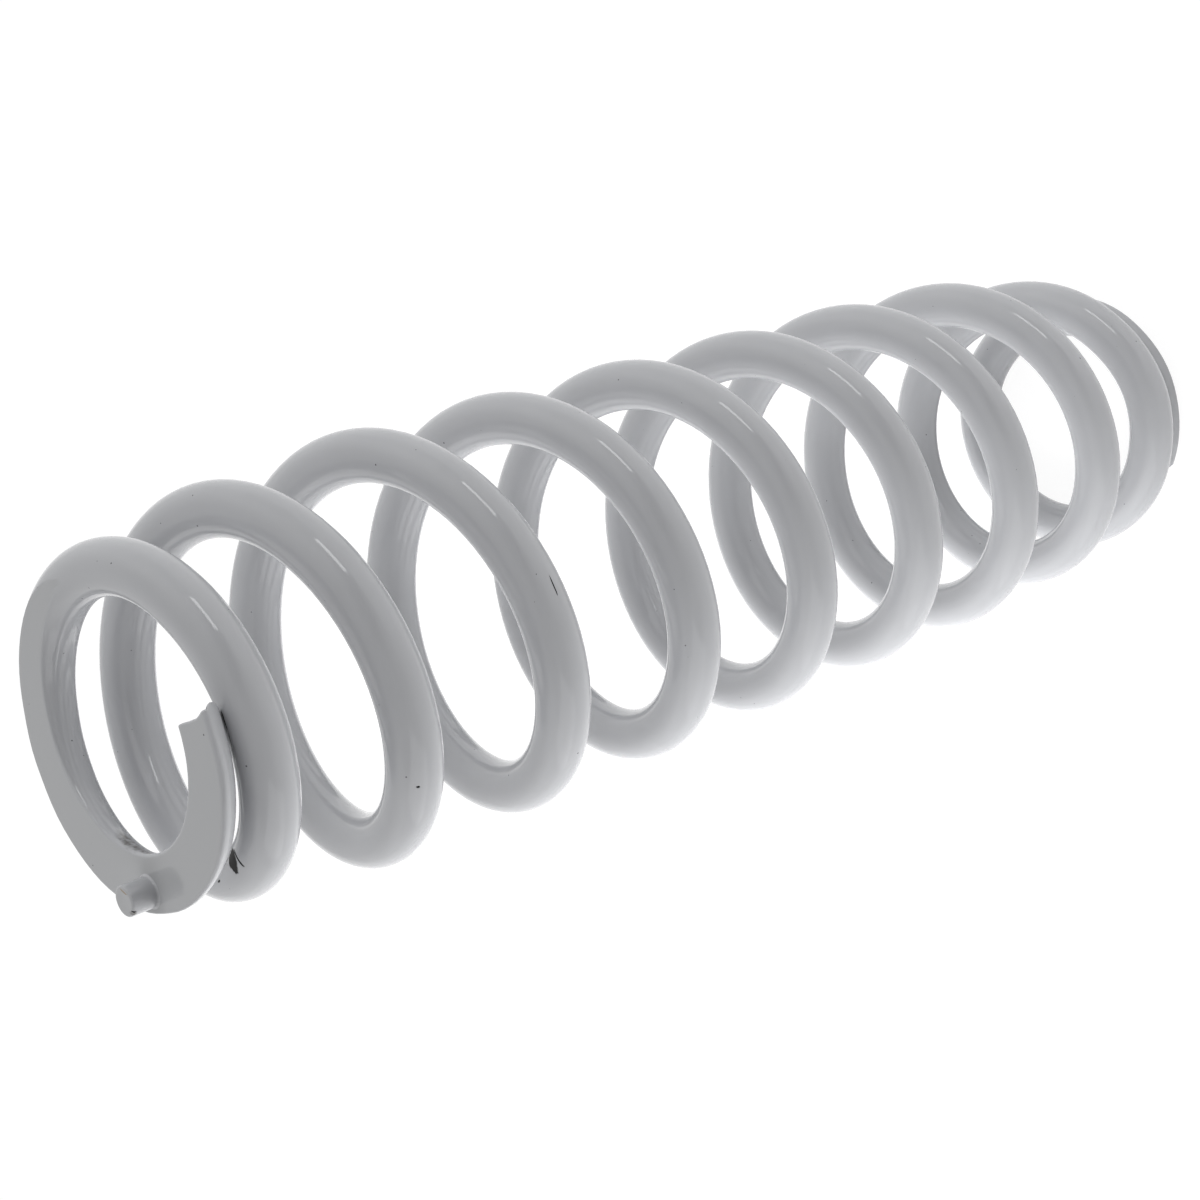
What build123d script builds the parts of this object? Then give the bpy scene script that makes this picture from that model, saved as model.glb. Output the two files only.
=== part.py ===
"""Round-wire compression spring with closed, ground ends and a locating pin.

The spring stands on its lower ground face, with its axis along +Z and the
origin at the centre of that face. The pin stands out of the upper face.
"""

import os
from math import cos, pi, sin

from build123d import *

# Wire and coils, in millimetres
wire_diameter = 8.0
body_mean_diameter = 54.4
end_mean_diameter = 41.1
end_coil_offset = 1.6
free_length = 219.4
total_turns = 10.09

# Turns over which the pitch opens and the coil grows, counted from each tip
opening_turns = 2.7
growing_turns = 2.8

# Gap left where the first turn lies on the second
closed_coil_gap = 0.2

# Depth of the ground face below the centre of the wire's tip
grinding_depth = 0.5

# Slant of the sheared tip, seen along the axis
shear_angle = 14.0
shear_allowance_turns = 0.017
waste_overrun_turns = 0.0015
waste_clearance = 0.025

# Locating pin, with its foot flush in the ground face and a thinner shank below
pin_turns = 0.2725
pin_land = 0.42
pin_diameter = 4.5
pin_height = 4.0
pin_rounding = 0.4
foot_shoulder = 0.2
foot_depth = 1.0
shank_diameter = 2.5
shank_length = 2.0
shank_chamfer = 0.3

# Fineness of the wire's path
points_per_turn = 24

wire_radius = wire_diameter / 2
body_radius = body_mean_diameter / 2
end_radius = end_mean_diameter / 2
pin_radius = pin_diameter / 2
foot_radius = pin_radius + foot_shoulder
shank_radius = shank_diameter / 2

# The pitch grows from the tip as a quarter of a sine wave. It starts where the
# second turn just clears the first, and ends where half the spring, from its
# tip to its middle, reaches half the free length.
half_turns = total_turns / 2
opening_lead = 2 * opening_turns / pi
closed_lead = wire_diameter + closed_coil_gap
first_turn_share = opening_lead * (1 - cos(pi / 2 / opening_turns))
body_share = opening_lead + half_turns - opening_turns
tip_share = opening_turns - opening_lead
tip_shift = tip_share / (1 - first_turn_share)
body_pitch = (free_length / 2 + grinding_depth - closed_lead * tip_shift) / (
    body_share - first_turn_share * tip_shift
)
tip_pitch = (closed_lead - body_pitch * first_turn_share) / (1 - first_turn_share)


def lead(turns):
    """Distance along the axis that the wire has moved, this many turns from its tip."""
    opened = min(turns / opening_turns, 1)
    opening = opening_lead * (1 - cos(pi / 2 * opened))
    beyond = max(turns - opening_turns, 0)
    return tip_pitch * turns + (body_pitch - tip_pitch) * (opening + beyond)


def wire_centre(turns):
    """Point on the wire's centre line, this many turns down from the upper tip."""
    upper = turns < half_turns
    from_tip = turns if upper else total_turns - turns
    grown = sin(pi / 2 * min(from_tip / growing_turns, 1)) ** 2
    radius = end_radius + (body_radius - end_radius) * grown
    offset = end_coil_offset * (1 - grown)
    angle = -2 * pi * turns
    tip_angle = 0 if upper else -2 * pi * total_turns
    height = lead(from_tip) - grinding_depth
    return Vector(
        radius * cos(angle) + offset * cos(tip_angle),
        radius * sin(angle) + offset * sin(tip_angle),
        free_length - height if upper else height,
    )


def wire_points(first, last):
    """Evenly spaced points on the centre line between two turn counts."""
    spans = max(round((last - first) * points_per_turn), 4)
    return [wire_centre(first + (last - first) * i / spans) for i in range(spans + 1)]


def pin_seat_plane():
    """The ground face's plane under the pin, with its x axis pointing outwards.

    The pin stands over the wire, a narrow land inside the wire's outer edge.
    """
    centre = wire_centre(pin_turns)
    outwards = Vector(centre.X, centre.Y).normalized()
    shift = wire_radius - pin_radius - pin_land
    seat = Vector(centre.X, centre.Y, free_length) + outwards * shift
    return Plane(seat, x_dir=outwards, z_dir=(0, 0, 1))


pin_seat = pin_seat_plane()
foot_seat = pin_seat.offset(-foot_depth)


def sheared_waste(tip_turns, outward):
    """The slanted offcut at one tip, a hair thicker than the wire.

    outward is 1 at the upper tip and -1 at the lower one, where the wire ends
    the other way round.
    """
    beyond = tip_turns - outward * (shear_allowance_turns + waste_overrun_turns)
    within = tip_turns + outward * 2 * shear_allowance_turns
    radial = Vector(1, 0).rotate(Axis.Z, -360 * tip_turns)
    away = Vector(0, outward).rotate(Axis.Z, outward * shear_angle - 360 * tip_turns)
    inner_corner = wire_centre(tip_turns) - radial * wire_radius
    with BuildPart() as waste:
        with BuildLine() as path:
            Spline(*wire_points(min(beyond, within), max(beyond, within)))
        with BuildSketch(Plane(path.line @ 0, z_dir=path.line % 0)):
            Circle(wire_radius + waste_clearance)
        sweep(path=path.line, is_frenet=True)
        split(bisect_by=Plane(inner_corner, z_dir=away), keep=Keep.TOP)
    return waste.part


# Coil spring, swept whole, sheared at both tips and ground flat at both ends.
# The wire's seam line runs round its outer side.
with BuildPart() as coil_spring:
    with BuildLine() as coil_path:
        Spline(*wire_points(-shear_allowance_turns, total_turns + shear_allowance_turns))
    with BuildSketch(Plane(coil_path.line @ 0, x_dir=(1, 0), z_dir=coil_path.line % 0)):
        Circle(wire_radius)
    sweep(path=coil_path.line, is_frenet=True)
    add(sheared_waste(0, 1), mode=Mode.SUBTRACT)
    add(sheared_waste(total_turns, -1), mode=Mode.SUBTRACT)
    split(bisect_by=Plane.XY.offset(free_length), keep=Keep.BOTTOM)
    split(bisect_by=Plane.XY, keep=Keep.TOP)
    with Locations(pin_seat):
        CounterBoreHole(shank_radius, foot_radius, foot_depth, foot_depth + shank_length)
coil_spring.part.label = "coil_spring"

# Locating pin, turned with a foot and a shank that fill the counterbored hole
with BuildPart() as locating_pin:
    with BuildSketch(foot_seat):
        Circle(foot_radius)
    extrude(amount=foot_depth)
    with BuildSketch(pin_seat):
        Circle(pin_radius)
    extrude(amount=pin_height)
    fillet(locating_pin.edges().sort_by(Axis.Z)[-1], pin_rounding)
    with BuildSketch(foot_seat):
        Circle(shank_radius)
    extrude(amount=-shank_length)
    chamfer(locating_pin.edges().sort_by(Axis.Z)[0], shank_chamfer)
locating_pin.part.label = "locating_pin"

os.makedirs("parts", exist_ok=True)
export_step(coil_spring.part, "parts/coil_spring.step")
export_step(locating_pin.part, "parts/locating_pin.step")
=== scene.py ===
"""Looks for a white powder-coated compression spring with a locating pin.

The coated wire, with its ground faces and sheared tips, and the pin are
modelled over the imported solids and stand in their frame: +Z runs along the
spring to its pin end.
"""

from math import asin, ceil, copysign, cos, exp, pi, sin, sqrt, tau
from typing import NamedTuple

import bmesh
import bpy
from mathutils import Matrix, Vector


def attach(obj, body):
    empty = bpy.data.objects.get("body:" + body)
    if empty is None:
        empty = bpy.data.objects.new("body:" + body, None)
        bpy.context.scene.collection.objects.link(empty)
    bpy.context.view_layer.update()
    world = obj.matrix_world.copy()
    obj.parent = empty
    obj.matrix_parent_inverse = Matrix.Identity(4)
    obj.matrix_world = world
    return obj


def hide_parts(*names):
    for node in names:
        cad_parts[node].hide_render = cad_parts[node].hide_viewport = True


bl_info = {
    "name": "Compression spring looks",
    "version": (1, 0, 0),
    "blender": (4, 5, 0),
    "location": "View3D > Sidebar > Spring",
    "description": "Dresses the packed compression spring and sets its stage",
    "category": "Object",
}

MM = 0.001

# Turns over which the rounder ground edge at a tip gives way to the ordinary one
blunt_turns = 0.25
# Share of the vertices on a ground section's cut side that lie on its flat
flat_share = 0.4
# Distance from the wire's centre to the middle of the half-round face that grinding leaves at a
# tip, and about half the size of that face
tip_face_middle = 1.9 * MM
tip_face_reach = 3.2 * MM
# How far back from a tip the wire still follows the sheared end's shape
shear_fade = 9 * MM
# How many times longer the lanes are than they are wide
lane_stretch = 20
# How near to the pin's end a vertex lies that takes the ground face's darker look, as painted
# shade on the pin's end
pin_end_shade_depth = 0.06 * MM
# Places closer than this are one place
hair = 0.001 * MM

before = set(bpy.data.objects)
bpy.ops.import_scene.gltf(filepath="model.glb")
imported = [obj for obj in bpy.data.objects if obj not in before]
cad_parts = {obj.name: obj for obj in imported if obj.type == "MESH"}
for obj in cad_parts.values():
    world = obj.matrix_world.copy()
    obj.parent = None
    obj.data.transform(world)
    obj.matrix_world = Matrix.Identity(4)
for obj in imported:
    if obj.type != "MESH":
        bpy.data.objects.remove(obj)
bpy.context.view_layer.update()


def linear(hex_colour):
    """Turns an sRGB hex colour into linear red, green and blue."""
    channels = [int(hex_colour[i:i + 2], 16) / 255 for i in (1, 3, 5)]
    return [c / 12.92 if c <= 0.04045 else ((c + 0.055) / 1.055) ** 2.4 for c in channels]


def size(name, description, millimetres):
    """A length property whose default is given in millimetres."""
    return bpy.props.FloatProperty(
        name=name, description=description, default=millimetres * MM, unit="LENGTH", precision=5
    )


def count(name, description, default):
    """A property for a number of things."""
    return bpy.props.IntProperty(name=name, description=description, default=default, min=3)


def turns(name, description, default):
    """A property for a number of turns of the spring."""
    return bpy.props.FloatProperty(name=name, description=description, default=default)


def level(name, description, default):
    """A property for a level of light, where 1 shows white as white."""
    return bpy.props.FloatProperty(name=name, description=description, default=default, min=0)


def colour(name, description, hex_colour):
    """A colour property whose default is an sRGB hex colour."""
    return bpy.props.FloatVectorProperty(
        name=name, description=description, default=linear(hex_colour), subtype="COLOR",
        size=3, min=0, max=1,
    )


def eased(share):
    """0 below 0, 1 above 1, and a smooth rise between them."""
    share = min(max(share, 0), 1)
    return share * share * (3 - 2 * share)


# How far the first turn's outer side stands out from an even coil's at the end with the pin, in
# millimetres at turns from that tip
first_turn_spread = (
    (0, -0.38), (0.06, 0.25), (0.12, 0.38), (0.18, 0.12), (0.24, 0.25), (0.30, 0.83), (0.36, 1.18),
    (0.42, 1.05), (0.48, 0.43), (0.54, -0.28), (0.62, -0.50), (0.75, -0.18), (0.90, 0),
)
# How far the wire lies outside an even coil at the end without the pin, in millimetres at turns
# from that tip
last_turns_shift = (
    (0, -0.50), (0.10, -0.65), (0.20, -1.20), (0.30, -1.50), (0.42, -0.90), (0.55, 0), (0.90, 0.15),
    (1.00, 0.45), (1.10, 0.85), (1.20, 0.40), (1.35, 0),
)


def read_off(measures, place):
    """What a list of measures says of a place, smooth between those measured."""
    for (here, value), (beyond, next_value) in zip(measures, measures[1:]):
        if place < beyond:
            return (value + (next_value - value) * eased((place - here) / (beyond - here))) * MM
    return 0.0


class SpringSizes(bpy.types.PropertyGroup):
    """Sizes of the wire and the coils."""

    wire_diameter: size("Wire diameter", "Diameter of the coated wire", 8.0)
    body_diameter: size("Body diameter", "Mean diameter of the middle coils", 54.4)
    end_diameter: size("End diameter", "Mean diameter of the coil at each tip", 41.1)
    end_offset: size("End offset", "How far an end coil sits off the axis, towards its tip", 1.6)
    free_length: size("Free length", "Distance between the two ground faces", 219.4)
    closed_gap: size("Closed gap", "Gap left where the first turn lies on the second", 0.2)
    grinding_depth: size("Grinding depth", "Depth of the ground face below the tip's centre", 0.5)
    settling: size("Settling", "How far the tip has settled on the next coil", 0.3)
    edge_rounding: size("Edge rounding", "Radius that the coat gives an outer ground edge", 0.2)
    inner_rounding: size("Inner rounding", "Radius that the coat gives an inner ground edge", 0.45)
    tip_rounding: size("Tip rounding", "Radius of the ground edge at the sheared tip", 0.62)
    cut_rounding: size("Cut rounding", "Radius that the coat gives the sheared edge", 0.3)
    total_turns: turns("Turns", "Turns from tip to tip", 10.09)
    opening_turns: turns("Opening turns", "Turns over which the pitch opens", 2.7)
    growing_turns: turns("Growing turns", "Turns over which the coil grows", 2.8)
    stations: count("Stations", "Sections of the mesh in each turn", 80)
    sides: count("Sides", "Sides of each section", 64)


class PinSizes(bpy.types.PropertyGroup):
    """Sizes of the locating pin."""

    diameter: size("Diameter", "Diameter of the pin where it stands free", 4.5)
    height: size("Height", "How far the pin stands above the ground face", 4.0)
    land: size("Land", "Width of the face left outside the pin", 0.42)
    end_rounding: size("End rounding", "Radius of the edge round the pin's end", 0.4)
    coat_fillet: size("Coat fillet", "Radius of the coat run round the pin's root", 0.35)
    foot_depth: size("Foot depth", "How far the pin reaches into the wire", 1.0)
    place: turns("Place", "Turns from the wire's tip to the pin", 0.2725)
    sides: count("Sides", "Sides of the pin", 64)


class CoatLooks(bpy.types.PropertyGroup):
    """Colours of the coat and its marks."""

    coat: colour("Coat", "Glossy white powder coat", "#B4B5B8")
    # partly the ground face's duller finish and partly painted shade on the spring's end faces and
    # pin end
    ground: colour("Ground face", "Coat over the ground face", "#A8A9AB")
    nib: colour("Dust nib", "Dust caught in the coat", "#626165")
    chip_and_crack_shade: colour("Chip", "Dark steel where the coat has chipped", "#0E0D0C")
    # chip colour, which is also the black painted as shade along the crack where the tip lies on
    # the next coil
    dirt: colour("Dirt", "Grey dirt rubbed into the coat", "#6A6866")
    wear: colour("Wear", "Brown wear on the pin's end", "#8F8272")


class StageLooks(bpy.types.PropertyGroup):
    """Colours and levels of the floor and the studio."""

    floor: colour("Floor", "Floor", "#EEEEEE")
    white: level("White", "Level at which the floor shows to the camera", 1.12)
    studio: level("Studio", "Level of the soft light round the spring", 1.0)
    lamps: level("Lamps", "Level of the lamps", 1.0)


class WireSection(NamedTuple):
    """A place on the centre line, with the level way outwards and the way up across the wire.

    spread is how much further out its outer side lies than a round wire's on
    an even coil, and rounding the radius of its ground edges.
    """

    centre: Vector
    outwards: Vector
    upwards: Vector
    spread: float
    rounding: float


class Station(NamedTuple):
    """A section that the mesh is drawn to.

    share shrinks it towards the middle of a cut, pull moves it with the
    sheared end, and lag is the distance behind that end.
    """

    turns: float
    share: float = 1.0
    pull: float = 0.0
    lag: float = 0.0


class WireLine:
    """The wire's centre line, counted in turns down from the tip by the pin."""

    def __init__(self, sizes):
        self.sizes = sizes
        self.radius = sizes.wire_diameter / 2
        self.half_turns = sizes.total_turns / 2
        self.tip_length = tau * sizes.end_diameter / 2
        opening = sizes.opening_turns
        self.opening_lead = 2 * opening / pi
        closed_lead = sizes.wire_diameter + sizes.closed_gap
        half_lead = sizes.free_length / 2 + sizes.grinding_depth
        first_share = self.opening_lead * (1 - cos(pi / 2 / opening))
        tip_shift = (opening - self.opening_lead) / (1 - first_share)
        body_share = self.opening_lead + self.half_turns - opening
        self.body_pitch = (half_lead - closed_lead * tip_shift) / (
            body_share - first_share * tip_shift
        )
        self.tip_pitch = (closed_lead - self.body_pitch * first_share) / (1 - first_share)

    def lead(self, from_tip):
        """Distance along the axis that the wire has moved, this many turns from its tip."""
        opened = min(from_tip / self.sizes.opening_turns, 1)
        opening = self.opening_lead * (1 - cos(pi / 2 * opened))
        beyond = max(from_tip - self.sizes.opening_turns, 0)
        # the tip has sunk, and the coil below it rises a little way on
        sunk = exp(-(from_tip / 0.12) ** 2)
        risen = exp(-((from_tip - 1.2) / 0.15) ** 2)
        pitch_growth = self.body_pitch - self.tip_pitch
        evenly = self.tip_pitch * from_tip + pitch_growth * (opening + beyond)
        return evenly + self.sizes.settling * (sunk - risen)

    def from_tip(self, place):
        """Turns between a place and the nearer tip."""
        return place if place < self.half_turns else self.sizes.total_turns - place

    def circle(self, place):
        """The middle and the radius of the circle that the wire follows here."""
        sizes = self.sizes
        upper = place < self.half_turns
        from_tip = self.from_tip(place)
        grown = sin(pi / 2 * min(from_tip / sizes.growing_turns, 1)) ** 2
        radius = (sizes.end_diameter + (sizes.body_diameter - sizes.end_diameter) * grown) / 2
        if not upper:
            radius += read_off(last_turns_shift, from_tip)
        tip_angle = 0 if upper else -tau * sizes.total_turns
        offset = sizes.end_offset * (1 - grown)
        return Vector((offset * cos(tip_angle), offset * sin(tip_angle), 0)), radius

    def centre(self, place):
        """Point on the centre line."""
        upper = place < self.half_turns
        middle, radius = self.circle(place)
        height = self.lead(self.from_tip(place)) - self.sizes.grinding_depth
        z = self.sizes.free_length - height if upper else height
        return middle + Vector((radius * cos(tau * place), -radius * sin(tau * place), z))

    def section(self, place):
        """The section across the wire here."""
        centre = self.centre(place)
        beside = 1e-4
        onwards = (self.centre(place + beside) - self.centre(place - beside)).normalized()
        outwards = Vector((-onwards.y, onwards.x, 0)).normalized()
        if outwards.dot(centre) < 0:
            outwards.negate()
        upwards = outwards.cross(onwards)
        if upwards.z < 0:
            upwards.negate()
        spread = read_off(first_turn_spread, place)
        blunt = 1 - eased(self.from_tip(place) / blunt_turns)
        rounding = self.sizes.edge_rounding
        rounding += (self.sizes.tip_rounding - rounding) * blunt
        return WireSection(centre, outwards, upwards, spread, rounding)

    def widened(self, section, across):
        """A place across the section, moved out with the spread.

        The inner side moves by a fifth of it.
        """
        return across + section.spread * (0.6 + 0.4 * across / self.radius)

    def outline(self, section, angle):
        """Place across the section of the skin at an angle, and how much of it is ground.

        A section is round, or near a tip it ends flat at the ground face, with
        edges that the coat has rounded.
        """
        above = (self.sizes.free_length - section.centre.z) / section.upwards.z
        below = section.centre.z / section.upwards.z
        side = 1 if above < below else -1
        turned = (side * angle - pi / 2 + pi) % tau - pi
        rounding = section.rounding
        if turned > 0:
            rounding = max(rounding, self.sizes.inner_rounding)
        core = self.radius - rounding
        roof = min(above, below) - rounding
        if roof < core:
            spread = pi / 2 - asin(roof / core)
            share = turned / spread
            half = sqrt(core ** 2 - roof ** 2)
            if abs(share) <= flat_share:
                return -half * share / flat_share, side * (roof + rounding), 1.0
            if abs(share) < 1:
                # the ground look fades over the first third of the rounded edge
                bent = (abs(share) - flat_share) / (1 - flat_share)
                facing = pi / 2 - spread * bent
                across = copysign(half + rounding * cos(facing), -share)
                return across, side * (roof + rounding * sin(facing)), max(0.0, 1 - 3 * bent)
        return self.radius * cos(angle), self.radius * sin(angle), 0.0


def sheared_reach(across, up):
    """How far the sheared end stands beyond the tip at a place on it, all in millimetres.

    The shear has left the outer side longer, in a wave, and it steps out
    again below the ground face's edge.
    """
    slant = 0.15 + 0.08 * (across + 3)
    wave = 0.62 * eased((across - 0.9) / 3)
    step = 0.6 * eased((-up - 1.0) / 0.6) * eased((across - 1.5) / 1.5)
    ripple = 0.03 * sin(2.2 * across + 0.9 * up) * cos(1.4 * up)
    return slant + wave + step + ripple


def cut_stations(sizes, line):
    """The sections from the middle of one sheared end to where the wire is whole."""
    rounding = sizes.cut_rounding
    inner = [Station(0, share, 1) for share in (0.2, 0.45, 0.7, 0.84)]
    edge = []
    steps = 4
    for step in range(steps + 1):
        bend = pi / 2 * step / steps
        inset = rounding * (1 - sin(bend))
        edge.append(Station(0, 1 - inset / tip_face_reach, 1, rounding * (1 - cos(bend))))
    outer = []
    for behind in (0.7, 1.4, 2.2, 3.1, 4.1, 5.2, 6.4, 7.7):
        back = behind * MM
        outer.append(Station(back / line.tip_length, 1, (1 - back / shear_fade) ** 2))
    return inner + edge + outer


def wire_stations(sizes, line):
    """All the sections that the wire's skin is drawn to, from tip to tip."""
    start = cut_stations(sizes, line)
    next_gap = 1.3 * MM
    first = start[-1].turns + next_gap / line.tip_length
    last = sizes.total_turns - first
    steps = ceil((last - first) * sizes.stations)
    middle = [Station(first + (last - first) * i / steps) for i in range(steps + 1)]
    finish = [s._replace(turns=sizes.total_turns - s.turns) for s in reversed(start)]
    return start + middle + finish


def place_ring(line, ring, layers, station):
    """Moves a ring of vertices to its station on the wire.

    lane holds each one's place round the wire and along it, drawn together
    along the wire.
    """
    facing, ground, lane = layers
    way = 1 if station.turns < line.half_turns else -1
    middle = -way * tip_face_middle if station.share < 1 else 0
    here = line.section(station.turns)
    for vertex in ring:
        across, up, worn = line.outline(here, vertex[facing])
        place = here
        if station.pull:
            inset_up = middle + (up - middle) * station.share
            beyond = sheared_reach(across * station.share / MM, way * inset_up / MM) * MM
            reach = station.pull * beyond - station.lag
            place = line.section(station.turns - way * reach / line.tip_length)
            across, up, worn = line.outline(place, vertex[facing])
        across = line.widened(place, across * station.share)
        up = middle + (up - middle) * station.share
        vertex.co = place.centre + place.outwards * across + place.upwards * up
        vertex[ground] = worn if station.share == 1 else 0.0
        round_wire = line.radius * Vector((cos(vertex[facing]), sin(vertex[facing]), 0))
        along = line.tip_length * station.turns / lane_stretch
        vertex[lane] = round_wire + Vector((0, 0, along))


def wire_mesh(sizes):
    """The whole wire as one closed skin, drawn out ring by ring."""
    line = WireLine(sizes)
    shape = bmesh.new()
    facing = shape.verts.layers.float.new("facing")
    ground = shape.verts.layers.float.new("ground")
    layers = facing, ground, shape.verts.layers.float_vector.new("lane")
    bmesh.ops.create_circle(shape, segments=sizes.sides, radius=line.radius)
    ring = list(shape.verts)
    for i, vertex in enumerate(ring):
        vertex[facing] = tau * (i + 0.5) / sizes.sides
    edges = list(shape.edges)
    stations = wire_stations(sizes, line)
    place_ring(line, ring, layers, stations[0])
    bmesh.ops.contextual_create(shape, geom=edges)
    for station in stations[1:]:
        drawn = bmesh.ops.extrude_edge_only(shape, edges=edges)["geom"]
        ring = [item for item in drawn if isinstance(item, bmesh.types.BMVert)]
        edges = [
            item for item in drawn
            if isinstance(item, bmesh.types.BMEdge) and item.is_boundary
        ]
        place_ring(line, ring, layers, station)
    bmesh.ops.contextual_create(shape, geom=edges)
    bmesh.ops.recalc_face_normals(shape, faces=shape.faces)
    return finished_mesh(shape, "coated_wire")


def pin_profile(pin):
    """Half the pin's outline, as (distance from its axis, height), from its foot to its end."""
    radius, fillet, rounding = pin.diameter / 2, pin.coat_fillet, pin.end_rounding
    steps = 7
    beside = 0.1 * MM
    # the foot, and the fillet's skirt, which ends just under the ground face
    outline = [
        (0, -pin.foot_depth), (radius, -pin.foot_depth), (radius, -0.3 * MM),
        (radius + fillet + 0.3 * MM, -0.12 * MM), (radius + fillet + 0.15 * MM, -0.03 * MM),
    ]
    for i in range(steps + 1):
        bend = pi / 2 * i / steps
        outline.append((radius + fillet * (1 - sin(bend)), fillet * (1 - cos(bend)) - 0.01 * MM))
    # rings close to each rounding, so that the shading of its neighbours stays even
    outline += [(radius, fillet + beside), (radius, pin.height - rounding - beside)]
    for i in range(steps + 1):
        bend = pi / 2 * i / steps
        rim = radius - rounding * (1 - cos(bend))
        outline.append((rim, pin.height - rounding * (1 - sin(bend))))
    outline.append((radius - rounding - beside, pin.height))
    # the end is dished a little
    outline += [(radius * 0.55, pin.height - 0.03 * MM), (0, pin.height - 0.05 * MM)]
    return outline


def pin_mesh(sizes, pin):
    """The pin, turned, with the coat run round its root on to the ground face."""
    line = WireLine(sizes)
    wire = line.centre(pin.place)
    outwards = Vector((wire.x, wire.y, 0)).normalized()
    seat = Vector((wire.x, wire.y, sizes.free_length))
    seat += outwards * (line.radius - pin.diameter / 2 - pin.land)
    shape = bmesh.new()
    points = [shape.verts.new(seat + Vector((out, 0, up))) for out, up in pin_profile(pin)]
    edges = [shape.edges.new(pair) for pair in zip(points, points[1:])]
    bmesh.ops.spin(
        shape, geom=points + edges, cent=seat, axis=(0, 0, 1), angle=tau, steps=pin.sides,
        use_merge=True,
    )
    bmesh.ops.remove_doubles(shape, verts=shape.verts, dist=hair)
    # outside the ground face's rounded edge, the coat's skirt falls with the wire, and it ends
    # short of the wire's outer side
    middle, circle = line.circle(pin.place)
    section = line.section(pin.place)
    skirt_margin = 0.12 * MM
    limit = line.widened(section, line.radius) - skirt_margin
    flat = line.widened(section, line.radius - section.rounding)
    for vertex in shape.verts:
        height = vertex.co.z - sizes.free_length
        if height > pin.coat_fillet or (vertex.co - seat).xy.length < pin.diameter / 2 + hair:
            continue
        spoke = (vertex.co - middle).xy
        across = spoke.length - circle
        if across > limit:
            vertex.co.xy = middle.xy + spoke.normalized() * (circle + limit)
            across = limit
        past = min(max(across - flat, 0), section.rounding)
        fall = section.rounding - sqrt(section.rounding ** 2 - past ** 2)
        vertex.co.z -= fall * (1 - max(height, 0) / pin.coat_fillet)
    # painted shade: the pin's end takes the ground face's darker look
    ground = shape.verts.layers.float.new("ground")
    for vertex in shape.verts:
        vertex[ground] = float(vertex.co.z > sizes.free_length + pin.height - pin_end_shade_depth)
    bmesh.ops.recalc_face_normals(shape, faces=shape.faces)
    return finished_mesh(shape, "turned_pin")


def finished_mesh(shape, name):
    """A smooth-shaded mesh from a bmesh, which is freed."""
    for face in shape.faces:
        face.smooth = True
    mesh = bpy.data.meshes.new(name)
    shape.to_mesh(mesh)
    shape.free()
    return mesh


def show_piece(mesh, name, material, node):
    """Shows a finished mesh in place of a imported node."""
    mesh.materials.append(material)
    piece = bpy.data.objects.new(name, mesh)
    bpy.context.scene.collection.objects.link(piece)
    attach(piece, "root")
    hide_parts(node)


def add_node(tree, kind, inputs=None, **settings):
    """Adds a node, sets its properties, and sets or links its inputs."""
    node = tree.nodes.new(kind)
    for name, value in settings.items():
        setattr(node, name, value)
    for key, value in (inputs or {}).items():
        if isinstance(value, bpy.types.NodeSocket):
            tree.links.new(value, node.inputs[key])
        else:
            node.inputs[key].default_value = value
    return node


def new_material(name):
    """A node material with nothing in it, and its tree."""
    material = bpy.data.materials.new(name)
    material.use_nodes = True
    material.node_tree.nodes.clear()
    return material, material.node_tree


class Mark(NamedTuple):
    """A mark on the coat: its place, the way it runs and its half sizes, in millimetres.

    edge is how sharply it begins.
    """

    place: tuple
    way: tuple
    half: tuple
    edge: float = 6.0


def mark_mask(tree, coords, mark):
    """A mask that is 1 inside a mark with a ragged edge."""
    turned = Vector(mark.way).to_track_quat("X", "Z").to_euler()
    centred = add_node(
        tree, "ShaderNodeMapping",
        {"Vector": coords, "Location": [v * MM for v in mark.place], "Rotation": turned,
         "Scale": [v * MM for v in mark.half]},
        vector_type="TEXTURE",
    ).outputs[0]
    noise = add_node(tree, "ShaderNodeTexNoise", {"Vector": centred, "Scale": 1.7, "Detail": 3})
    bent = add_node(
        tree, "ShaderNodeVectorMath", {0: noise.outputs["Color"], 1: (0.5, 0.5, 0.5)},
        operation="SUBTRACT",
    )
    ragged = add_node(
        tree, "ShaderNodeVectorMath", {0: bent.outputs[0], 1: (0.8, 0.8, 0.8), 2: centred},
        operation="MULTIPLY_ADD",
    )
    ball = add_node(
        tree, "ShaderNodeTexGradient", {"Vector": ragged.outputs[0]}, gradient_type="SPHERICAL"
    )
    return add_node(
        tree, "ShaderNodeMath", {0: ball.outputs["Fac"], 1: mark.edge}, operation="MULTIPLY",
        use_clamp=True,
    ).outputs[0]


def marks_mask(tree, coords, marks):
    """One mask for several marks."""
    whole = mark_mask(tree, coords, marks[0])
    for mark in marks[1:]:
        one = mark_mask(tree, coords, mark)
        whole = add_node(tree, "ShaderNodeMath", {0: whole, 1: one}, operation="MAXIMUM").outputs[0]
    return whole


def ranged(tree, value, low, high, to_low, to_high):
    """A value taken from one range to another, and kept in it."""
    return add_node(
        tree, "ShaderNodeMapRange",
        {"Value": value, "From Min": low, "From Max": high, "To Min": to_low, "To Max": to_high},
    ).outputs[0]


def laid_over(tree, under, over, mask):
    """One colour laid over another where the mask is."""
    under = under if isinstance(under, bpy.types.NodeSocket) else (*under, 1)
    return add_node(
        tree, "ShaderNodeMix", {"Factor": mask, 6: under, 7: (*over, 1)}, data_type="RGBA"
    ).outputs[2]


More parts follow.
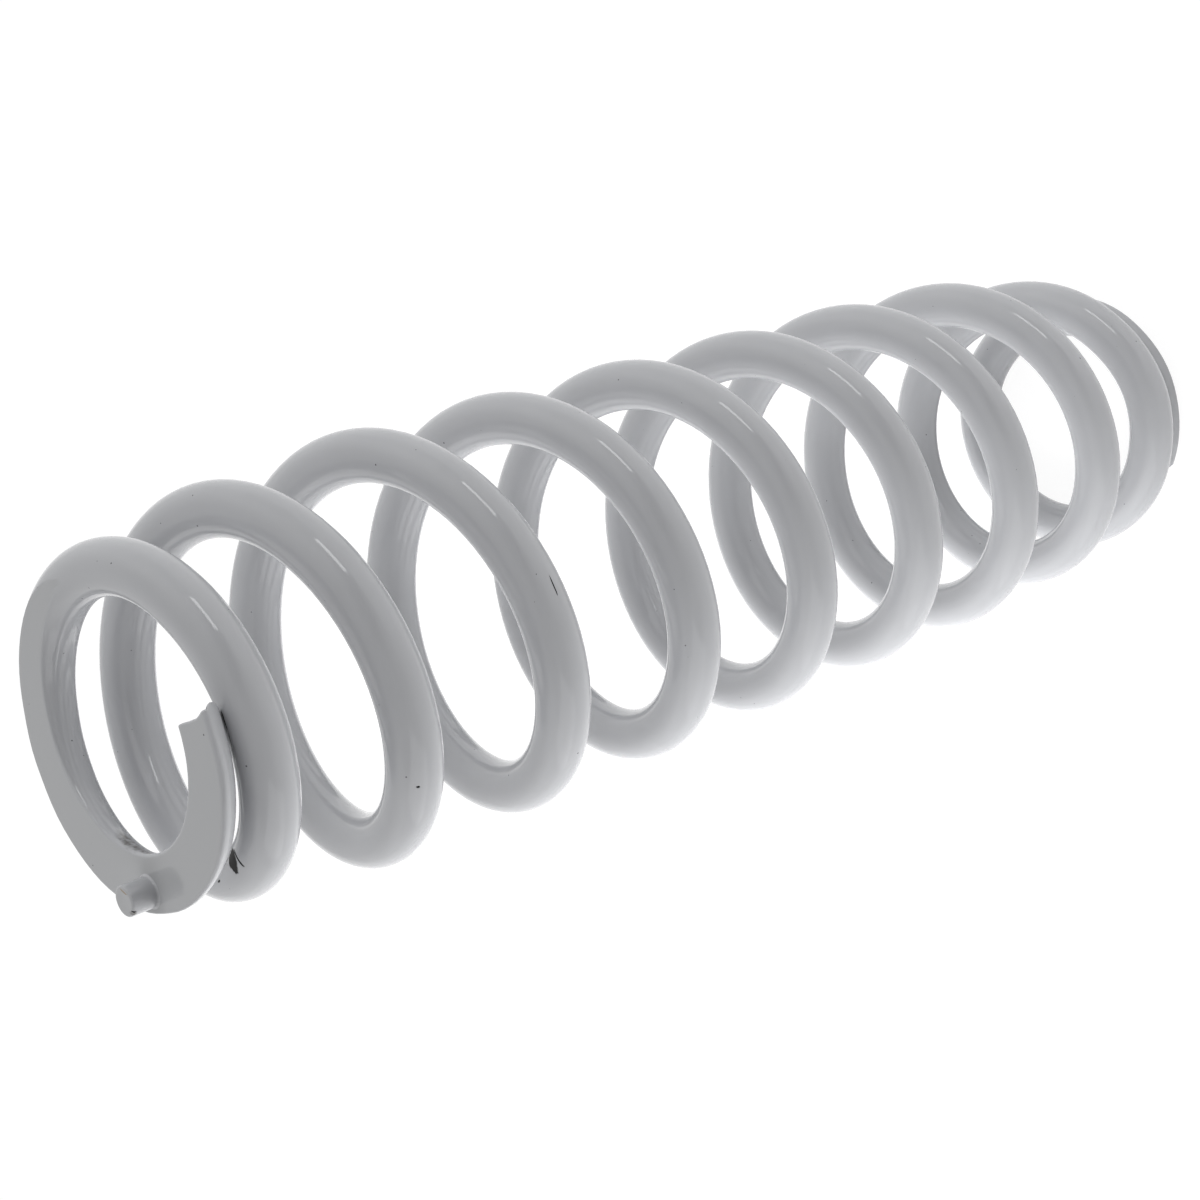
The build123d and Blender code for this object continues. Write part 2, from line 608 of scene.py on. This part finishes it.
def powder_coat(name, looks, chips_and_crack_shade, dirt, wear=()):
    """Polyester powder, sprayed on steel and baked.

    It gives the eye a smooth white gloss with a faint orange peel, dust caught
    in it, a duller ground face that is darkened further as painted shade, and
    black steel where it has chipped, the same black also painted as shade along
    the crack where a tip lies on the next coil.
    """
    material, tree = new_material(name)
    coords = add_node(tree, "ShaderNodeTexCoord").outputs["Object"]
    ground = add_node(tree, "ShaderNodeAttribute", attribute_name="ground").outputs["Fac"]
    # orange peel 1.6 mm from crest to crest, on slow waves of 7 mm
    peel = add_node(
        tree, "ShaderNodeTexNoise", {"Vector": coords, "Scale": 1 / (1.6 * MM), "Detail": 1}
    )
    sag = add_node(
        tree, "ShaderNodeTexNoise", {"Vector": coords, "Scale": 1 / (7 * MM), "Detail": 1}
    )
    # dust nibs up to 0.3 mm across, on some of the cells of 2.2 mm
    cells = add_node(tree, "ShaderNodeTexVoronoi", {"Vector": coords, "Scale": 1 / (2.2 * MM)})
    drawn = add_node(tree, "ShaderNodeSeparateColor", {"Color": cells.outputs["Color"]})
    reach = ranged(tree, drawn.outputs[0], 0.35, 1, 0, 0.07)
    nib = add_node(
        tree, "ShaderNodeMath", {0: cells.outputs["Distance"], 1: reach}, operation="LESS_THAN"
    ).outputs[0]
    # the tone drifts by 4.5 percent over some 15 mm
    drift = add_node(
        tree, "ShaderNodeTexNoise", {"Vector": coords, "Scale": 1 / (15 * MM), "Detail": 2}
    )
    deeper = ranged(tree, drift.outputs["Fac"], 0.3, 0.7, 0, 1)
    shown = laid_over(tree, [c * 0.955 for c in looks.coat], looks.coat, deeper)
    # the ground look: partly a duller finish, partly painted shade on the end faces and the pin's
    # end
    shown = laid_over(tree, shown, looks.ground, ground)
    shown = laid_over(tree, shown, looks.nib, nib)
    if wear:
        shown = laid_over(tree, shown, looks.wear, marks_mask(tree, coords, wear))
    # dirt broken up by grit of about 0.9 mm
    grit = add_node(
        tree, "ShaderNodeTexNoise", {"Vector": coords, "Scale": 1 / (0.9 * MM), "Detail": 4}
    )
    broken = ranged(tree, grit.outputs["Fac"], 0.35, 0.62, 0.25, 1)
    rubbed = add_node(
        tree, "ShaderNodeMath", {0: marks_mask(tree, coords, dirt), 1: broken},
        operation="MULTIPLY",
    )
    shown = laid_over(tree, shown, looks.dirt, rubbed.outputs[0])
    # on the wire this mask also holds the black line painted as shade along the crack under the tip
    chipped = marks_mask(tree, coords, chips_and_crack_shade)
    shown = laid_over(tree, shown, looks.chip_and_crack_shade, chipped)
    smooth = ranged(tree, ground, 0, 1, 0.08, 0.12)
    rough = add_node(
        tree, "ShaderNodeMath", {0: chipped, 1: 0.35, 2: smooth}, operation="MULTIPLY_ADD"
    )
    # the drawn wire's lanes, 1 mm wide and some 20 mm long, show through the coat. Heights are in
    # steps of 8 micrometres: 1 for the peel, 4 for the waves, 1.2 for the lanes, -12 for a chip
    # and for the black line painted as shade along the crack between coils
    lane = add_node(tree, "ShaderNodeAttribute", attribute_name="lane").outputs["Vector"]
    lanes = add_node(tree, "ShaderNodeTexNoise", {"Vector": lane, "Scale": 1 / MM, "Detail": 1})
    waves = add_node(
        tree, "ShaderNodeMath", {0: sag.outputs["Fac"], 1: 4.0, 2: peel.outputs["Fac"]},
        operation="MULTIPLY_ADD",
    )
    waves = add_node(
        tree, "ShaderNodeMath", {0: lanes.outputs["Fac"], 1: 1.2, 2: waves.outputs[0]},
        operation="MULTIPLY_ADD",
    )
    height = add_node(
        tree, "ShaderNodeMath", {0: chipped, 1: -12.0, 2: waves.outputs[0]},
        operation="MULTIPLY_ADD",
    )
    bump = add_node(tree, "ShaderNodeBump", {"Height": height.outputs[0], "Distance": 0.008 * MM})
    coat = add_node(
        tree, "ShaderNodeBsdfPrincipled",
        {"Base Color": shown, "Roughness": rough.outputs[0], "Normal": bump.outputs[0],
         "Specular IOR Level": ranged(tree, chipped, 0, 1, 0.5, 0.1)},
    )
    coat.inputs["IOR"].default_value = 1.5
    add_node(tree, "ShaderNodeOutputMaterial", {"Surface": coat.outputs[0]})
    return material


# Painted shade: the first three marks are a black line along the crack where the tip lies on the
# next coil. The others are chips on that coil by the pin, and on two coils beyond
wire_chips_and_crack_shade = [
    Mark((23.5, -0.75, 215.7), (-0.13, -1, -0.1), (1.5, 0.11, 0.4), 9.0),
    Mark((24.3, -0.5, 216.22), (-0.2, -0.96, -0.16), (0.9, 0.12, 0.14), 9.0),
    Mark((22.8, -4.2, 215.3), (-0.31, -1, -0.13), (2.2, 0.09, 0.4)),
    Mark((10.95, -19.9, 213.0), (-0.5, -0.86, 0), (1.9, 1.5, 1.0), 9.0),
    Mark((12.9, -19.6, 213.2), (0.45, -0.89, 0.1), (1.5, 0.26, 0.7), 9.0),
    Mark((4.45, -22.98, 212.28), (0.9, 0.3, 0.1), (0.55, 0.17, 0.4)),
    Mark((31.0, 2.6, 164.87), (0.08, -1, -0.1), (1.7, 0.5, 0.12)),
    Mark((24.01, -17.66, 190.74), (1, 0, 0), (0.22, 0.2, 0.3)),
]
# Dirt inside the ground end, by the pin
wire_dirt = [
    Mark((-5.6, -15.2, 218.0), (0.9, -0.4, 0.1), (4.2, 1.7, 1.3), 2.0),
    Mark((-1.2, -16.6, 218.3), (1, -0.1, 0.1), (2.8, 0.9, 0.8), 1.8),
]
# The pin's end is rubbed brown at its upper edge and dirty at its lower one
pin_wear = [
    Mark((-0.75, -20.45, 223.35), (0.84, -0.54, 0), (0.95, 0.2, 0.5)),
]
pin_dirt = [
    Mark((-0.1, -23.6, 223.2), (0.75, -0.5, 0), (0.9, 0.4, 0.6), 3.0),
]
pin_chips = [
    Mark((0.2, -23.3, 223.25), (0.75, -0.6, 0), (0.45, 0.14, 0.4)),
]


class SPRING_OT_wire(bpy.types.Operator):
    """Make the coated wire, with its ground faces and sheared tips"""

    bl_idname = "spring.wire"
    bl_label = "Coated wire"

    def execute(self, context):
        looks = context.scene.spring_coat
        mesh = wire_mesh(context.scene.spring_sizes)
        coat = powder_coat("Glossy white powder coat on wire", looks, wire_chips_and_crack_shade, wire_dirt)
        show_piece(mesh, "coated_wire", coat, "coil_spring")
        return {"FINISHED"}


class SPRING_OT_pin(bpy.types.Operator):
    """Make the locating pin, with the coat run round its root"""

    bl_idname = "spring.pin"
    bl_label = "Locating pin"

    def execute(self, context):
        looks = context.scene.spring_coat
        mesh = pin_mesh(context.scene.spring_sizes, context.scene.spring_pin)
        coat = powder_coat("Glossy white powder coat on pin", looks, pin_chips, pin_dirt, pin_wear)
        show_piece(mesh, "coated_pin", coat, "locating_pin")
        return {"FINISHED"}


def matt_floor(stage):
    """Matt white laminate, shown to the eye as a plain white sweep that keeps a soft shadow."""
    plain_share = 0.8
    material, tree = new_material("Matt white floor")
    path = add_node(tree, "ShaderNodeLightPath")
    seen = add_node(
        tree, "ShaderNodeMath",
        {0: path.outputs["Is Camera Ray"], 1: path.outputs["Is Glossy Ray"]}, operation="MAXIMUM",
    )
    share = add_node(
        tree, "ShaderNodeMath", {0: seen.outputs[0], 1: plain_share}, operation="MULTIPLY"
    )
    matt = add_node(tree, "ShaderNodeBsdfDiffuse", {"Color": (*stage.floor, 1)})
    white = add_node(tree, "ShaderNodeEmission", {"Color": (1, 1, 1, 1), "Strength": stage.white})
    both = add_node(
        tree, "ShaderNodeMixShader", {0: share.outputs[0], 1: matt.outputs[0], 2: white.outputs[0]}
    )
    add_node(tree, "ShaderNodeOutputMaterial", {"Surface": both.outputs[0]})
    return material


class Glow(NamedTuple):
    """Soft light from one side: the way to it, how narrow it is and its strength."""

    way: tuple
    narrow: float
    strength: float


def glow_added(tree, way, glow, level, under):
    """A value with one glow's share at a way, times a level, added to it."""
    near = add_node(
        tree, "ShaderNodeVectorMath", {0: way, 1: glow.way}, operation="DOT_PRODUCT"
    ).outputs["Value"]
    near = add_node(tree, "ShaderNodeMath", {0: near, 1: 0.0}, operation="MAXIMUM").outputs[0]
    soft = add_node(tree, "ShaderNodeMath", {0: near, 1: glow.narrow}, operation="POWER").outputs[0]
    return add_node(
        tree, "ShaderNodeMath", {0: soft, 1: glow.strength * level, 2: under},
        operation="MULTIPLY_ADD",
    ).outputs[0]


# Light from above and below the spring, as the camera sees it, and from behind it
glows = [
    Glow((0.12, 0.66, 0.74), 8, 1.65),
    Glow((0.43, 0.75, 0.50), 20, 0.60),
    Glow((-0.15, 0.85, 0.50), 20, 1.17),
    Glow((-0.69, 0.69, 0.21), 8, 1.12),
    Glow((-0.69, -0.69, 0.21), 8, 0.95),
    Glow((-0.63, -0.23, 0.74), 8, 0.53),
    Glow((-0.12, -0.66, 0.74), 8, 0.64),
    Glow((-0.43, -0.75, 0.50), 20, 1.86),
    Glow((0.63, 0.23, 0.74), 8, 0.25),
]
# Share of plain white that the gloss sees, which is less in these ways, as if the studio had a
# dim opening there. This tones the coils' sides down a little.
mirrored_white = 0.7
opening_ways = ((0.75, 0.62, 0.22), (0.80, 0.48, 0.36), (0.82, 0.30, 0.48), (0.82, 0.10, 0.56))
opening_narrow = 24
opening_strength = 0.8


def light_studio(stage):
    """Soft light from all the glows, with plain white for the camera and mostly for the gloss."""
    world = bpy.data.worlds.new("Soft studio")
    bpy.context.scene.world = world
    world.use_nodes = True
    tree = world.node_tree
    tree.nodes.clear()
    way = add_node(tree, "ShaderNodeTexCoord").outputs["Generated"]
    studio = 0.0
    for glow in glows:
        studio = glow_added(tree, way, glow, stage.studio, studio)
    opening = 0.0
    for opening_way in opening_ways:
        dim = Glow(opening_way, opening_narrow, opening_strength)
        opening = glow_added(tree, way, dim, 1.0, opening)
    path = add_node(tree, "ShaderNodeLightPath")
    gloss = add_node(
        tree, "ShaderNodeMath",
        {0: path.outputs["Is Glossy Ray"], 1: ranged(tree, opening, 0, 1, mirrored_white, 0)},
        operation="MULTIPLY",
    ).outputs[0]
    seen = add_node(
        tree, "ShaderNodeMath", {0: path.outputs["Is Camera Ray"], 1: gloss}, operation="MAXIMUM"
    ).outputs[0]
    strength = add_node(
        tree, "ShaderNodeMix", {0: seen, 2: studio, 3: 1.0}, data_type="FLOAT"
    ).outputs[0]
    sky = add_node(tree, "ShaderNodeBackground", {"Color": (1, 1, 1, 1), "Strength": strength})
    add_node(tree, "ShaderNodeOutputWorld", {"Surface": sky.outputs[0]})


class Lamp(NamedTuple):
    """A soft box: its place, what it shines at, its two sizes in metres and its watts.

    mirrored is whether the gloss shows it.
    """

    place: tuple
    target: tuple
    wide: float
    high: float
    watts: float
    mirrored: bool = False


lamps = {
    "Sheen lamp": Lamp((0.459, 0.552, 0.288), (0.025, 0.017, 0.169), 0.28, 0.11, 0.45, True),
    "Lower lamp": Lamp((0.10, -0.40, 0.25), (0, 0, 0.18), 0.36, 0.36, 0.33, True),
    "Lower far lamp": Lamp((-0.04, -0.18, 0.02), (0, -0.03, 0.05), 0.16, 0.10, 0.13),
    "Lower middle lamp": Lamp((-0.02, -0.18, 0.12), (0, -0.03, 0.12), 0.16, 0.10, 0.24),
    "Right lamp": Lamp((0.35, -0.15, 0.08), (0, 0, 0.05), 0.36, 0.15, 0.24),
    "Back lamp": Lamp((-0.25, -0.10, 0.04), (0, 0, 0.05), 0.20, 0.20, 0.28),
    "Back middle lamp": Lamp((-0.25, -0.10, 0.14), (0, 0, 0.14), 0.20, 0.20, 0.12),
    "Upper far lamp": Lamp((0.0, 0.25, 0.055), (0, 0.03, 0.055), 0.20, 0.12, 0.06),
}


def area_lamp(name, setting, stage):
    """A soft box that shines from one place at another, and that the camera doesn't see."""
    light = bpy.data.lights.new(name, "AREA")
    light.shape = "RECTANGLE"
    light.size, light.size_y = setting.wide, setting.high
    light.energy = setting.watts * stage.lamps
    box = bpy.data.objects.new(name, light)
    box.location = setting.place
    way = Vector(setting.target) - box.location
    box.rotation_euler = way.to_track_quat("-Z", "Y").to_euler()
    box.visible_camera = False
    box.visible_glossy = setting.mirrored
    bpy.context.scene.collection.objects.link(box)


def set_camera():
    """The camera where a fit to the photograph puts it, rolled so that the spring lies across."""
    lens = bpy.data.cameras.new("View camera")
    lens.sensor_width, lens.lens = 36, 63.85
    lens.clip_start, lens.clip_end = 0.01, 20
    camera = bpy.data.objects.new("View camera", lens)
    right = Vector((0.643201, -0.262720, -0.719216))
    up = Vector((0.108320, 0.961068, -0.254194))
    back = Vector((0.757997, 0.085592, 0.646618))
    turned = Matrix((right, up, back)).transposed()
    place = Vector((0.2566126, 0.0240718, 0.3498910))
    camera.matrix_world = Matrix.LocRotScale(place, turned, None)
    bpy.context.scene.collection.objects.link(camera)
    bpy.context.scene.camera = camera


class SPRING_OT_stage(bpy.types.Operator):
    """Set the floor, the soft studio light and the camera"""

    bl_idname = "spring.stage"
    bl_label = "Stage"

    def execute(self, context):
        stage = context.scene.spring_stage
        shape = bmesh.new()
        bmesh.ops.create_grid(shape, x_segments=1, y_segments=1, size=3)
        mesh = bpy.data.meshes.new("floor")
        shape.to_mesh(mesh)
        shape.free()
        mesh.materials.append(matt_floor(stage))
        floor = bpy.data.objects.new("floor", mesh)
        context.scene.collection.objects.link(floor)
        light_studio(stage)
        for name, setting in lamps.items():
            area_lamp(name, setting, stage)
        set_camera()
        context.scene.view_settings.view_transform = "Standard"
        return {"FINISHED"}


class SPRING_PT_looks(bpy.types.Panel):
    """Sizes, colours and steps of the spring"""

    bl_idname = "SPRING_PT_looks"
    bl_label = "Compression spring"
    bl_space_type = "VIEW_3D"
    bl_region_type = "UI"
    bl_category = "Spring"

    def draw(self, context):
        layout = self.layout
        for title, group in panel_groups:
            layout.label(text=title)
            values = getattr(context.scene, group)
            for name in values.__annotations__:
                layout.prop(values, name)
        for step in steps:
            layout.operator(step.bl_idname)


panel_groups = (
    ("Wire and coils", "spring_sizes"),
    ("Pin", "spring_pin"),
    ("Coat", "spring_coat"),
    ("Stage", "spring_stage"),
)
groups = {
    "spring_sizes": SpringSizes,
    "spring_pin": PinSizes,
    "spring_coat": CoatLooks,
    "spring_stage": StageLooks,
}
steps = (SPRING_OT_wire, SPRING_OT_pin, SPRING_OT_stage)


def register():
    for group in groups.values():
        bpy.utils.register_class(group)
    for name, group in groups.items():
        setattr(bpy.types.Scene, name, bpy.props.PointerProperty(type=group))
    for step in steps:
        bpy.utils.register_class(step)
    bpy.utils.register_class(SPRING_PT_looks)


def unregister():
    bpy.utils.unregister_class(SPRING_PT_looks)
    for step in reversed(steps):
        bpy.utils.unregister_class(step)
    for name in groups:
        delattr(bpy.types.Scene, name)
    for group in reversed(groups.values()):
        bpy.utils.unregister_class(group)


def main():
    register()
    bpy.ops.spring.wire()
    bpy.ops.spring.pin()
    bpy.ops.spring.stage()


if __name__ == "__main__":
    main()
